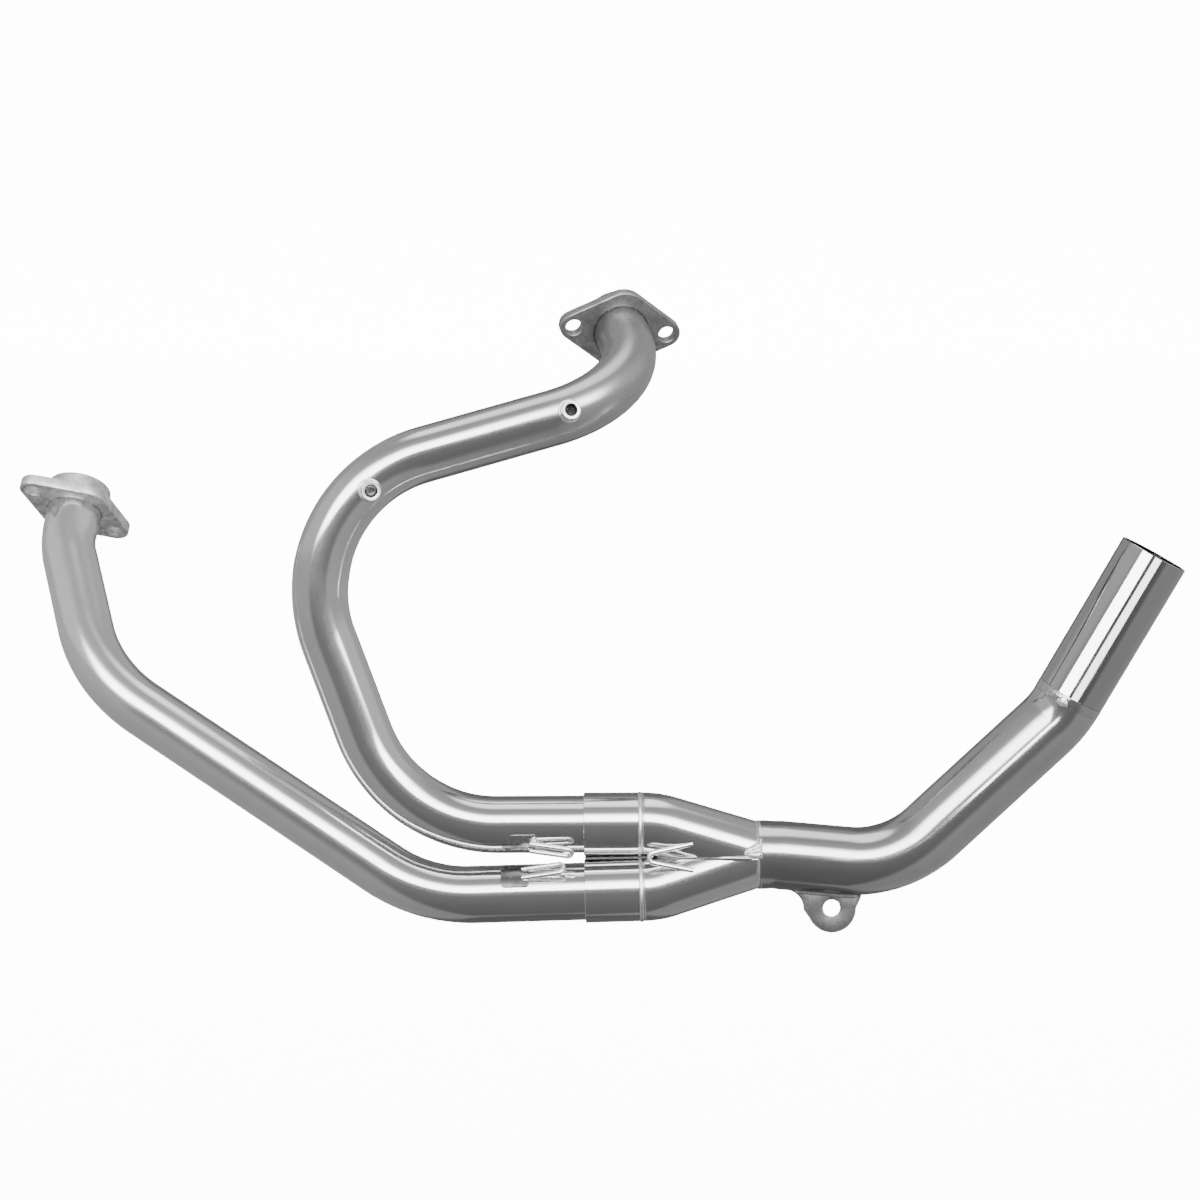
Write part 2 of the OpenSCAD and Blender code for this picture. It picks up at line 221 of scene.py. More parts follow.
# Polished tube: lengthwise brushing, polishing haze, handling specks and heat near the welds
def tubeSteel(name, settings):
    material, tree, shader = newMaterial(name)
    bright, dull, base = settings["bright"], settings["dull"], settings["rough"]
    place = node(tree, "ShaderNodeAttribute", attribute_name="unrolled").outputs["Vector"]
    heat = node(tree, "ShaderNodeAttribute", attribute_name="heat").outputs["Fac"]
    across, lengthwise = settings["grain"]
    brush = speckle(tree, scaled(tree, place, (across, across, lengthwise)), 5.0)
    haze = speckle(tree, scaled(tree, place, (38, 38, 16)), 3.0)
    specks = speckle(tree, scaled(tree, place, (900, 900, 700)), 2.0)
    hazeAmount = ranged(tree, haze, 0.35, 0.7, 0.0, 1.0)
    colour = blendColour(tree, hazeAmount, grey(bright), grey(dull))
    speckAmount = ranged(tree, specks, 0.68, 0.78, 0.0, settings["specks"])
    colour = blendColour(tree, speckAmount, colour, grey(dull * 0.55))
    if "fade" in settings:  # towards the port the colour goes to a painted tone (painted light on the front tube, painted shade on the rear one), the finish grows rougher and its brushing dies out
        split = node(tree, "ShaderNodeSeparateXYZ")
        tree.links.new(place, split.inputs[0])
        faded = ranged(tree, split.outputs["Z"], *settings["fade"], 0.0, 1.0)
        colour = blendColour(tree, faded, colour, grey(settings["fadeTo"]))
        kept = maths(tree, "MULTIPLY", brush, maths(tree, "SUBTRACT", 1.0, faded))
        brush = maths(tree, "ADD", kept, maths(tree, "MULTIPLY", faded, 0.5))
    heatAmount = ranged(tree, heat, 0.0, 1.0, 0.0, 0.55)
    colour = blendColour(tree, heatAmount, colour, grey(bright * 0.72, 0.035))
    rough = ranged(tree, brush, 0.3, 0.7, base - 0.03, base + 0.04)
    rough = maths(tree, "ADD", rough, ranged(tree, haze, 0.35, 0.75, -0.02, 0.06))
    rough = maths(tree, "ADD", rough, ranged(tree, heat, 0.0, 1.0, 0.0, 0.1))
    if "fade" in settings:
        rough = maths(tree, "ADD", rough, maths(tree, "MULTIPLY", faded, settings["fadeRough"]))
    bump = finishMetal(tree, shader, colour, rough, brush, settings["bump"], 0.00003)
    if "fade" in settings:
        tree.links.new(ranged(tree, faded, 0.0, 0.5, settings["bump"], 0.0), bump.inputs["Strength"])
    return material


# Rough plated or cast steel with mottling, small pits and worn high spots
def roughSteel(name, settings):
    material, tree, shader = newMaterial(name)
    bright, dull, base = settings["bright"], settings["dull"], settings["rough"]
    place = node(tree, "ShaderNodeTexCoord").outputs["Object"]
    mottle = speckle(tree, scaled(tree, place, (settings["mottle"],) * 3), 6.0, 0.65)
    grain = speckle(tree, scaled(tree, place, (1400, 1400, 1400)), 4.0)
    pits = node(tree, "ShaderNodeTexVoronoi")
    pits.inputs["Scale"].default_value = settings["pits"]
    tree.links.new(place, pits.inputs["Vector"])
    pitAmount = ranged(tree, pits.outputs["Distance"], 0.0, 0.22, 1.0, 0.0)
    halfPit = maths(tree, "MULTIPLY", pitAmount, 0.5)
    colour = blendColour(tree, ranged(tree, mottle, 0.36, 0.64, 0.0, 1.0), grey(dull), grey(bright))
    colour = blendColour(tree, halfPit, colour, grey(dull * 0.5))
    rough = ranged(tree, mottle, 0.3, 0.7, base + 0.1, base - 0.06)
    height = maths(tree, "ADD", maths(tree, "MULTIPLY", grain, 0.35), mottle)
    height = maths(tree, "SUBTRACT", height, halfPit)
    finishMetal(tree, shader, colour, rough, height, settings["bump"], 0.0003)
    return material


# fade is a stretch in metres from the inlet; over it the colour goes to fadeTo, painted shade near the rear
# port and painted light on the front tube, and the roughness grows by fadeRough
polishedFinish = {
    "rearHeader": {
        "bright": 0.78, "dull": 0.68, "rough": 0.1, "grain": (1500, 30), "bump": 0.05, "specks": 0.25,
        "fade": (0.44, 0.6), "fadeTo": 0.5, "fadeRough": 0.17},
    "frontHeader": {
        "bright": 0.8, "dull": 0.7, "rough": 0.11, "grain": (1500, 30), "bump": 0.06, "specks": 0.25,
        "fade": (0.12, 0.5), "fadeTo": 0.9, "fadeRough": 0.05},
    "sleeve": {
        "bright": 0.84, "dull": 0.76, "rough": 0.08, "grain": (1800, 40), "bump": 0.08, "specks": 0.15},
    "collector": {
        "bright": 0.8, "dull": 0.72, "rough": 0.1, "grain": (1500, 35), "bump": 0.08, "specks": 0.2},
    "outlet": {
        "bright": 0.64, "dull": 0.56, "rough": 0.11, "grain": (1500, 30), "bump": 0.1, "specks": 0.25},
    "tail": {
        "bright": 0.53, "dull": 0.49, "rough": 0.045, "grain": (1800, 40), "bump": 0.06, "specks": 0.15},
}
roughColumns = ("bright", "dull", "rough", "mottle", "pits", "bump")
roughFinish = {
    "wire": (0.96, 0.88, 0.28, 260, 1500, 0.1),
    "pad": (0.74, 0.6, 0.2, 220, 900, 0.12),
    # darker copy of the pad steel: painted shade on the front saddle
    "paintedShadePad": (0.2, 0.1, 0.3, 220, 900, 0.25),
    "weld": (0.94, 0.72, 0.3, 420, 1300, 0.2),
    "dressedWeld": (0.62, 0.54, 0.2, 420, 1300, 0.06),
    "freshWeld": (1.0, 0.92, 0.42, 420, 1500, 0.1),
    "tab": (0.38, 0.24, 0.36, 200, 600, 0.4),
    "boss": (0.95, 0.86, 0.42, 500, 1800, 0.1),
    # near-black steel: painted shade in the boss's bore and drilling
    "thread": (0.05, 0.02, 0.6, 700, 1800, 0.2),
    "plug": (0.5, 0.36, 0.32, 500, 1500, 0.2),
}
# Two copies of one cast steel: the darker one is painted shade on the rear flange, the paler one painted
# light on the front flange
castFinish = {
    "flange": (0.44, 0.3, 0.42, 110, 420, 0.55),
    "paintedLightFlange": (0.92, 0.56, 0.45, 170, 380, 0.7),
}
steel = {key: tubeSteel(key + "Steel", settings) for key, settings in polishedFinish.items()}
for ending, finishes in (("Steel", roughFinish), ("Cast", castFinish)):
    for key, row in finishes.items():
        steel[key] = roughSteel(key + ending, dict(zip(roughColumns, row)))
print("materials made,", len(steel))


def toScene(name, data):
    made = bpy.data.objects.new(name, data)
    bpy.context.scene.collection.objects.link(made)
    return made


def addPiece(name, points, faces, material, nodes, data=None, sharp=40.0):
    mesh = bpy.data.meshes.new(name)
    mesh.from_pydata([tuple(c * mm for c in p) for p in points], [], faces)
    mesh.validate()
    for key, values in (data or {}).items():
        isVector = key == "unrolled"
        layer = mesh.attributes.new(key, "FLOAT_VECTOR" if isVector else "FLOAT", "POINT")
        flat = [c for v in values for c in v] if isVector else values
        layer.data.foreach_set("vector" if isVector else "value", flat)
    work = bmesh.new()
    work.from_mesh(mesh)
    bmesh.ops.recalc_face_normals(work, faces=work.faces)
    work.to_mesh(mesh)
    work.free()
    mesh.shade_smooth()
    mesh.set_sharp_from_angle(angle=radians(sharp))
    mesh.materials.append(material)
    piece = toScene(name, mesh)
    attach(piece, "root")
    if nodes:
        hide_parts(*nodes)
    return piece


def gridFaces(rings, count, closedRings, closedAround=True):
    faces = []
    for i in range(rings if closedRings else rings - 1):
        a, b = i * count, ((i + 1) % rings) * count
        for j in range(count if closedAround else count - 1):
            k = (j + 1) % count
            faces.append((a + j, a + k, b + k, b + j))
    return faces


def endCaps(total, count):
    return [tuple(range(count)), tuple(range(total - count, total))]


# Frames along a route; each keeps the same vertex line, with the bend's side and strength
def stations(rows, start, runGap, bendGap):
    found, rolled, length, base = [], 0.0, 0.0, start
    for straight, radius, angle, roll in rows:
        if straight > 0:
            steps = max(1, ceil(straight / runGap))
            for i in range(steps):
                at = straight * i / steps
                found.append((base @ shift(0, 0, at) @ turnZ(-rolled), length + at, 0.0, rolled))
        length += straight
        base = base @ shift(0, 0, straight) @ turnZ(roll)
        rolled += roll
        if angle > 0:
            steps = max(2, ceil(angle / bendGap))
            for i in range(steps):
                part = i / steps
                strength = min(1.0, 4 * part, 4 * (1 - part))
                at = base @ bendStep(radius, angle * part) @ turnZ(-rolled)
                found.append((at, length + radians(angle * part) * radius, strength, rolled))
            base = base @ bendStep(radius, angle)
            length += radians(angle) * radius
    found.append((base @ turnZ(-rolled), length, 0.0, rolled))
    return found


# Heat mark: full at a weld, gone 14 mm from it
def heatAt(distance, welds):
    nearest = min(abs(distance - w) for w in welds)
    return max(0.0, 1.0 - nearest / 14.0) ** 1.5


# Hollow tube on a route: rounded rims, bends pressed slightly oval
def addTube(name, rows, start, radius, bore, material, nodes, detail):
    count = detail.get("around", 112)
    rim = detail.get("rim", 0.35)
    oval = 0.011
    path = stations(rows, start, 7.0, 2.2)
    first, last = path[0], path[-1]
    profile = [(first, 0.0, radius - rim), (first, rim, radius)]
    profile += [(s, 0.0, radius) for s in path[1:-1]]
    profile += [(last, -rim, radius), (last, 0.0, radius - rim)]
    profile += [(last, 0.0, bore + rim), (last, -rim, bore)]
    profile += [(s, 0.0, bore) for s in reversed(path[1:-1])]
    profile += [(first, rim, bore), (first, 0.0, bore + rim)]
    points, unrolled, heat = [], [], []
    for (place, length, strength, rolled), offset, r in profile:
        place = place @ shift(0, 0, offset)
        warm = heatAt(length, detail["welds"]) if r > bore + rim else 0.0
        for a in turns(count):
            squeeze = oval * strength * cos(2 * (a - radians(rolled)))
            rr = r * (1 - squeeze - 0.3 * oval * strength)
            x, y = rr * cos(a), rr * sin(a)
            points.append(place @ Vector((x, y, 0)))
            unrolled.append((x * mm, y * mm, (length + offset) * mm))
            heat.append(warm)
    faces = gridFaces(len(profile), count, True)
    return addPiece(name, points, faces, material, nodes, {"unrolled": unrolled, "heat": heat})


# Ring turned from a closed profile of (radius, height) pairs
def addLathe(name, place, profile, material, nodes, count=112):
    points, unrolled = [], []
    for r, z in profile:
        for a in turns(count):
            local = (r * cos(a), r * sin(a), z)
            points.append(place @ Vector(local))
            unrolled.append(tuple(c * mm for c in local))
    faces = gridFaces(len(profile), count, True)
    heat = [0.0] * len(points)
    return addPiece(name, points, faces, material, nodes, {"unrolled": unrolled, "heat": heat})


# Ripple of a hand-fed weld: each pool leaves a curved scale over the one before
def ripple(distance, across, gap):
    x = distance / gap - 0.45 * across * across
    part = x - floor(x)
    return part ** 0.6 * (1 - part) ** 0.25 * 1.6


# Upper skin of a weld along a line of (point, outward, sideways, how proud it stands)
def weldSkin(line, settings, seed):
    width, gap, closed = settings["width"], settings["gap"], settings.get("closed", False)
    total = sum((line[i][0] - line[i - 1][0]).length for i in range(1, len(line)))
    if closed:
        total += (line[0][0] - line[-1][0]).length
        gap = total / max(1, round(total / gap))
    points, distance = [], 0.0
    for i, (point, outward, sideways, proud) in enumerate(line):
        if i:
            distance += (point - line[i - 1][0]).length
        ends, wander = 1.0, 0.0
        if not closed:  # tapers at both ends and wanders a little
            toEnd = min(distance, total - distance) + 0.15
            ends = sqrt(min(1.0, max(toEnd / (0.6 * width), 0.02)))
            wander = noise.noise(Vector((distance * 0.12, seed, 0)))
        for w in evenly(-1, 1, settings["cross"]):
            rise = proud * settings["height"] * (1 - w * w) * (0.74 + 0.3 * ripple(distance, w, gap)) * ends
            spread = 0.5 * width * (1 + 0.06 * (ripple(distance, 1, gap) - 0.5)) * w * ends
            points.append(point + outward * rise + sideways * (spread + 0.12 * width * wander))
    return points, gridFaces(len(line), settings["cross"], closed, False)


def addWeld(name, lines, nodes, settings):
    points, faces = [], []
    cross, closed = settings["cross"], settings.get("closed", False)
    for seed, line in enumerate(lines):
        top, topFaces = weldSkin(line, settings, seed * 3.7)
        offset, rings = len(points), len(line)
        low = offset + len(top)
        points += top
        faces += [tuple(i + offset for i in f) for f in topFaces]
        for i in range(rings):  # underside, sunk into the parent metal, closes the bead
            for j in (0, cross - 1):
                points.append(top[i * cross + j] - line[i][1] * settings["sink"])
        for i in range(rings if closed else rings - 1):
            k = (i + 1) % rings
            a, b = offset + i * cross, offset + k * cross
            lowA, lowB = low + 2 * i, low + 2 * k
            faces.append((a, b, lowB, lowA))
            faces.append((a + cross - 1, lowA + 1, lowB + 1, b + cross - 1))
            faces.append((lowA, lowB, lowB + 1, lowA + 1))
        if not closed:
            for i in (0, rings - 1):
                a = offset + i * cross
                faces.append(tuple(range(a, a + cross)) + (low + 2 * i + 1, low + 2 * i))
    return addPiece(name, points, faces, steel[settings.get("steel", "weld")], nodes, sharp=60.0)


# Ring of weld line; where a lump is named the rest of the ring is dressed down
def ringLine(place, radius, settings):
    line = []
    for a in turns(settings["steps"]):
        outward = place.to_3x3() @ polar(1, a)
        proud = 1.0
        if "lump" in settings:
            off = degrees(a) - degrees(angleRound(place, settings["lump"]))
            off = abs((off + 180) % 360 - 180)
            left = max(0.0, 1 - off / settings["reach"]) ** 0.5
            proud = settings["dressed"] + (1 - settings["dressed"]) * left
        line.append((place.translation + outward * radius, outward, axisOf(place), proud))
    return line


# Round wire through points, smoothed, with rounded ends
def addWire(name, controls, radius, nodes, steps=6, count=20):
    path = []
    padded = [controls[0]] + list(controls) + [controls[-1]]
    for i in range(1, len(padded) - 2):
        a, b, c, d = padded[i - 1:i + 3]
        for k in range(steps):
            t = k / steps
            path.append(0.5 * ((2 * b) + (c - a) * t + (2 * a - 5 * b + 4 * c - d) * t * t
                               + (3 * b - a - 3 * c + d) * t ** 3))
    path.append(controls[-1])
    last = len(path) - 1
    tangents = [(path[min(i + 1, last)] - path[max(i - 1, 0)]).normalized() for i in range(len(path))]
    side = tangents[0].orthogonal().normalized()
    cap = [(0.3, 0.45), (0.16, 0.85)]  # how far past the end, and how wide it is there
    points, rings = [], []
    for i, (p, t) in enumerate(zip(path, tangents)):
        side = (side - t * side.dot(t)).normalized()
        other = t.cross(side)
        if i == 0:
            rings += [(p - t * radius * past, wide, side, other) for past, wide in cap]
        rings.append((p, 1.0, side, other))
        if i == last:
            rings += [(p + t * radius * past, wide, side, other) for past, wide in reversed(cap)]
    for p, grow, one, two in rings:
        points += [p + (one * cos(a) + two * sin(a)) * radius * grow for a in turns(count)]
    faces = gridFaces(len(rings), count, False) + endCaps(len(points), count)
    return addPiece(name, points, faces, steel["wire"], nodes)


# Points of an arc between two angles in degrees
def arc(x, y, r, first, last, steps):
    angles = [radians(a) for a in evenly(first, last, steps + 1)]
    return [(x + r * cos(a), y + r * sin(a)) for a in angles]


def circle(x, y, r, count):
    return arc(x, y, r, 0, 360, count)[:-1]


# Flat plate from outlines: first the edge, then the holes; edges are rounded
def addPlate(name, place, outlines, settings, material, nodes):
    work = bmesh.new()
    loops = []
    for outline in outlines:
        verts = [work.verts.new((x, y, 0)) for x, y in outline]
        loops += [work.edges.new((verts[i], verts[(i + 1) % len(verts)])) for i in range(len(verts))]
    bmesh.ops.triangle_fill(work, edges=loops, use_beauty=True)
    bmesh.ops.dissolve_limit(work, angle_limit=0.01, verts=work.verts, edges=work.edges)
    grown = bmesh.ops.extrude_face_region(work, geom=list(work.faces))
    moved = [g for g in grown["geom"] if isinstance(g, bmesh.types.BMVert)]
    bmesh.ops.translate(work, verts=moved, vec=(0, 0, settings["thickness"]))
    bmesh.ops.recalc_face_normals(work, faces=work.faces)
    rimEdges = []
    for e in work.edges:
        if len(e.link_faces) == 2:
            first, second = (f.normal for f in e.link_faces)
            if abs(abs(first.z) - abs(second.z)) > 0.5:
                rimEdges.append(e)
    bmesh.ops.bevel(work, geom=rimEdges, offset=settings["bevel"], segments=3, profile=0.5, affect="EDGES")
    bmesh.ops.triangulate(work, faces=[f for f in work.faces if len(f.verts) > 4])
    points = [place @ v.co for v in work.verts]
    work.verts.index_update()
    polygons = [tuple(v.index for v in f.verts) for f in work.faces]
    work.free()
    return addPiece(name, points, polygons, material, nodes, sharp=30.0)


sleeve = {"length": 41, "rim": 0.3, "welds": (1.75,)}
outletHeat = {"welds": (0, 249)}
tailEnd = {"length": 113, "gap": 6, "around": 160, "rim": 0.45, "welds": (-3,)}
inside = tube["radius"] + tube["slip"]

for side in sides:
    addTube(side + "HeaderTube", route[side], tubeStart[side], tube["radius"], tube["bore"],
            steel[side + "Header"], [side + "_header_tube"],
            {"welds": (sleeve["length"] - tube["insert"],)})
outlet = addTube("outletTube", route["outlet"], outletStart, tube["outlet"], tube["outletBore"],
                 steel["outlet"], ["outlet_tube"], outletHeat)
tail = addTube("outletTail", [(tailEnd["length"], 0, 0, 0)], tailStart @ shift(0, 0, tailEnd["gap"]),
               tube["outlet"], tube["outletBore"], steel["tail"], ["outlet_tail"], tailEnd)
for side in sides:
    addTube(side + "SlipSleeve", [(sleeve["length"], 0, 0, 0)], inlet[side], tube["sleeve"], inside,
            steel["sleeve"], [side + "_slip_sleeve"], sleeve)
print("tubes swept")


# Point of a leg's skin, in the collector's frame, at a ring and an angle
def legPoint(side, ring, a):
    start = shift(0, 0, side * collector["half"]) @ turnY(90 + side * collector["splay"])
    start = start @ turnZ(180 if side < 0 else 0)
    local = polar(tube["sleeve"], a)
    if ring <= collector["bendRings"]:
        part = ring / collector["bendRings"]
        return start @ bendStep(collector["mergeRadius"], collector["turn"] * part) @ local
    base = start @ bendStep(collector["mergeRadius"], collector["turn"])
    origin = base @ local
    direction = axisOf(base)
    reach = (collector["length"] - origin.x) / direction.x
    part = (ring - collector["bendRings"]) / collector["runRings"]
    return origin + direction * reach * part


# Angle where the skin meets the plane between the legs, or None while it is clear
def seamAngle(side, ring):
    low, high = 0.0, pi
    if legPoint(side, ring, low).z * legPoint(side, ring, high).z > 0:
        return None
    for _ in range(40):
        middle = (low + high) / 2
        if legPoint(side, ring, middle).z * side > 0:
            high = middle
        else:
            low = middle
    return (low + high) / 2


seamLines = {1: [], -1: []}
for label, side in sides.items():
    points, unrolled, heat = [], [], []
    rings = collector["bendRings"] + collector["runRings"] + 1
    count = collector["around"]
    for ring in range(rings):
        # angle 0 faces the other leg, 180 faces away from it
        cut = seamAngle(side, ring)
        first = cut if cut is not None else 0.0
        for a in evenly(first, 2 * pi - first, count):
            p = legPoint(side, ring, a)
            x, y = tube["sleeve"] * cos(a), tube["sleeve"] * sin(a)
            points.append(collectorFrame @ p)
            unrolled.append((x * mm, y * mm, p.x * mm))
            warm = heatAt(p.x, (0, collector["length"]))
            if p.x > collector["seamFrom"] and abs(p.y) > collector["seamSide"]:
                warm = max(warm, heatAt(p.z, (0,)))
            heat.append(warm)
        if cut is not None and side > 0:
            for way, angle in ((1, cut), (-1, 2 * pi - cut)):
                seamLines[way].append(legPoint(side, ring, angle))
    faces = gridFaces(rings, count, False, False)
    leg = addPiece("collector" + label.capitalize() + "Leg", points, faces, steel["collector"],
                   ["collector_" + label + "_leg"], {"unrolled": unrolled, "heat": heat})
    skin = leg.modifiers.new("wall", "SOLIDIFY")
    skin.thickness = collector["wall"] * mm
    skin.offset = -1.0
    skin.use_even_offset = True
print("collector legs shaped, seam points", len(seamLines[1]))

# Dark strip put in the gap between the two sleeves as painted shade, so that nothing is seen through it
gapShade = {
    "from": -40.5, "to": 3.0, "deep": 5.0, "thick": 2.3, "rows": 13,
    "corners": [(-0.8, -0.5), (-1, -0.3), (-1, 0.3), (-0.8, 0.5)],
}
section = gapShade["corners"] + [(-y, -z) for y, z in gapShade["corners"]]
points = []
for x in evenly(gapShade["from"], gapShade["to"], gapShade["rows"]):
    points += [collectorFrame @ Vector((x, y * gapShade["deep"], z * gapShade["thick"])) for y, z in section]
faces = gridFaces(gapShade["rows"], len(section), False) + endCaps(len(points), len(section))
addPiece("sleeveBridge", points, faces, steel["tab"], [], sharp=50.0)

ringWeld = {"width": 2.8, "height": 0.55, "gap": 1.5, "closed": True, "cross": 9, "sink": 0.5, "steps": 560}
for side in sides:
    line = ringLine(inlet[side] @ shift(0, 0, sleeve["welds"][0]), tube["sleeve"] - tube["slip"], ringWeld)
    addWeld(side + "SleeveWeld", [line], [side + "_sleeve_weld"], ringWeld)

tailWeld = {
    "width": 6.1, "height": 1.0, "gap": 2.0, "closed": True, "cross": 13, "sink": 1.5, "steps": 560,
    "steel": "dressedWeld", "dressed": 0.1, "lump": (-0.5, -0.86, 0.1), "reach": 26,
}
line = ringLine(tailStart @ shift(0, 0, tailEnd["gap"] / 2), tube["outlet"] - tube["slip"], tailWeld)
addWeld("tailWeld", [line], ["tail_weld"], tailWeld)

# Patch of weld left standing where the ring was started
patch = {
    "width": 7.5, "height": 1.9, "gap": 2.2, "cross": 11, "sink": 1.5, "steps": 40,
    "steel": "freshWeld", "facing": (-0.25, -0.96, 0.15), "spread": 12.0, "at": 1.5, "sunk": 0.1,
}
line = []
for part in evenly(-1, 1, patch["steps"]):
    a = angleRound(tailStart, patch["facing"]) + radians(patch["spread"] * part)
    outward = tailStart.to_3x3() @ polar(1, a)
    foot = (tailStart @ shift(0, 0, patch["at"])).translation + outward * (tube["outlet"] - patch["sunk"])
    line.append((foot, outward, axisOf(tailStart), sqrt(max(0.15, 1 - part ** 2))))
addWeld("tailPatchWeld", [line], [], patch)


# Outer edge of the collector at its neck, as a radius for each direction
def neckRadius(a):
    best = 0.0
    for centre in (collector["neckHalf"], -collector["neckHalf"]):
        s = centre * sin(a)
        best = max(best, s + sqrt(max(tube["sleeve"] ** 2 - centre ** 2 + s * s, 0)))
    return best


neckWeld = {
    "width": 3.4, "height": 1.0, "gap": 1.9, "closed": True, "cross": 11, "sink": 1.0, "steps": 560,
    "at": 80.6, "slant": 4.0, "legShare": 0.35, "sunk": 0.1, "proud": 0.32,
    "lump": (-0.96, 0.28), "lumpSize": 0.3, "lumpRise": 1.9,
}
line = []
for a in turns(neckWeld["steps"]):
    outward = turnCollector @ Vector((0, cos(a), sin(a)))
    legEdge = neckRadius(a)
    reach = neckWeld["legShare"] * legEdge + (1 - neckWeld["legShare"]) * tube["outlet"] - neckWeld["sunk"]
    base = collectorFrame @ Vector((neckWeld["at"], 0, 0)) + outward * reach
    tilted = turnCollector @ Vector((neckWeld["slant"], 0, 0)) + outward * (tube["outlet"] - legEdge)
    away = hypot(outward.y - neckWeld["lump"][0], outward.z - neckWeld["lump"][1])
    lump = max(0.0, 1 - away / neckWeld["lumpSize"])
    proud = neckWeld["proud"] + neckWeld["lumpRise"] * lump ** 0.6
    line.append((base, outward, tilted.normalized(), proud))
addWeld("neckWeld", [line], ["neck_weld"], neckWeld)

# Heavier weld where the rear leg runs into the neck, built up of three short runs from one point
crotch = {
    "width": 5.6, "height": 2.3, "gap": 1.9, "cross": 9, "sink": 1.8, "steps": 48,
    "steel": "freshWeld", "tip": (69.5, 3.6), "ends": ((81.0, 1.8), (81.4, 5.8), (81.0, 9.8)),
    "slope": 0.37,
}
lines = []
for end in crotch["ends"]:
    line = []
    for part in evenly(0, 1, crotch["steps"]):
        x, z = (low + (high - low) * part for low, high in zip(crotch["tip"], end))
        centre = collector["neckHalf"] + crotch["slope"] * max(0.0, collector["length"] - x)
        y = -sqrt(tube["sleeve"] ** 2 - (z - centre) ** 2)
        outward = (turnCollector @ Vector((0, y, z - centre))).normalized()
        sideways = (turnCollector @ Vector((1, 0, 0))).cross(outward).normalized()
        line.append((collectorFrame @ Vector((x, y, z)), outward, sideways, min(1.0, 0.4 + part)))
    lines.append(line)
addWeld("crotchWeld", lines, [], crotch)

# Weld in the valley between the legs, dressed down at the sleeves and left standing near the neck
seamWeld = {
    "width": 4.2, "height": 1.25, "gap": 1.7, "cross": 11, "sink": 0.9, "steel": "dressedWeld",
    "end": 77, "spacing": 0.25, "sunk": 0.1, "proud": 0.45, "grows": 0.75, "growsFrom": 52, "growsOver": 14,
}
lines = []
for way in (1, -1):
    kept = [p for p in seamLines[way] if p.x < seamWeld["end"]]
    dense = []
    for first, second in zip(kept, kept[1:]):
        steps = max(1, ceil((second - first).length / seamWeld["spacing"]))
        dense += [first.lerp(second, k / steps) for k in range(steps)]
    dense.append(kept[-1])
    line = []
    for p in dense:
        outward = turnCollector @ Vector((0, 1 if p.y > 0 else -1, 0))
        grown = min(1.0, max(0.0, (p.x - seamWeld["growsFrom"]) / seamWeld["growsOver"]))
        foot = collectorFrame @ Vector((p.x, p.y, 0)) - outward * seamWeld["sunk"]
        proud = seamWeld["proud"] + seamWeld["grows"] * grown
        line.append((foot, outward, axisOf(collectorFrame), proud))
    lines.append(line)
addWeld("collectorSeamWeld", lines, ["collector_seam_weld"], seamWeld)
print("collector and tube welds laid")

hanger = {
    "thickness": 4.0, "bevel": 0.45, "hole": 6.0, "radius": 17.0, "endArc": (203, 360), "left": -29.5,
    "right": 20.6, "flareCentre": (-33.5, -1.0), "flareRadius": 14.0, "flareArc": (72, -2), "sunk": 0.4,
    "leftCorner": [(-18.6, -2.6), (-17.3, -4.7)], "rightCorner": [(18.9, 4.2), (20.6, 8.0)],
}
tabWeld = {
    "width": 3.8, "height": 1.5, "gap": 1.9, "cross": 9, "sink": 1.4, "steps": 150,
    "from": -26.0, "to": 17.5, "off": 0.5, "face": (0.72, -0.69),
}

underside = []  # points along the outlet's underside, over the tab
for place, _, _, _ in stations(route["outlet"][:2], outletStart, 1.0, 0.8):
    down = place.to_3x3() @ Vector((1, 0, 0))
    way = -1 if down.z > 0 else 1
    underside.append(place.translation + down * way * (tube["outlet"] - hanger["sunk"]))


def undersideAt(x):
    return min(underside, key=lambda p: abs(p.x - x)).z


flare = arc(*hanger["flareCentre"], hanger["flareRadius"], *hanger["flareArc"], 24)
edge = [p for p in flare if p[1] < undersideAt(p[0])] + hanger["leftCorner"]
edge += arc(0, 0, hanger["radius"], *hanger["endArc"], 44) + hanger["rightCorner"]
edge += [(x, undersideAt(x) + hanger["sunk"]) for x in evenly(hanger["right"], hanger["left"], 30)]
placeTab = turnX(90) @ shift(0, 0, -hanger["thickness"] / 2)
addPlate("hangerTab", placeTab, [edge, circle(0, 0, hanger["hole"], 64)], hanger,
         steel["tab"], ["hanger_tab"])

lines = []
for way in (1, -1):
    line = []
    y = way * (hanger["thickness"] / 2 + tabWeld["off"])
    drop = tube["outlet"] - sqrt(tube["outlet"] ** 2 - y * y)
    aside, down = tabWeld["face"]
    for x in evenly(tabWeld["from"], tabWeld["to"], tabWeld["steps"]):
        foot = Vector((x, y, undersideAt(x) + drop - tabWeld["off"]))
        line.append((foot, Vector((0, way * aside, down)), Vector((0, way * -down, aside)), 1.0))
    lines.append(line)
addWeld("hangerWeld", lines, ["hanger_weld"], tabWeld)
print("hanger tab made")

flange = {
    "studs": 72.0, "hole": 6.0, "ear": 10.5, "halfHeight": 31.0, "lobe": 19.0, "thickness": 9.0,
    "opening": 20.05, "bevel": 1.3, "back": -19, "roll": {"front": 45, "rear": 20},
    # the front flange gets the paler cast copy as painted light, the rear one the darker copy as painted
    # shade
    "cast": {"front": "paintedLightFlange", "rear": "flange"},
}
collar = {
    "reach": 12.0, "radius": 23.5, "bore": 17.5, "seat": 10.0, "round": 0.9, "edge": 0.3, "mouth": 0.5,
}

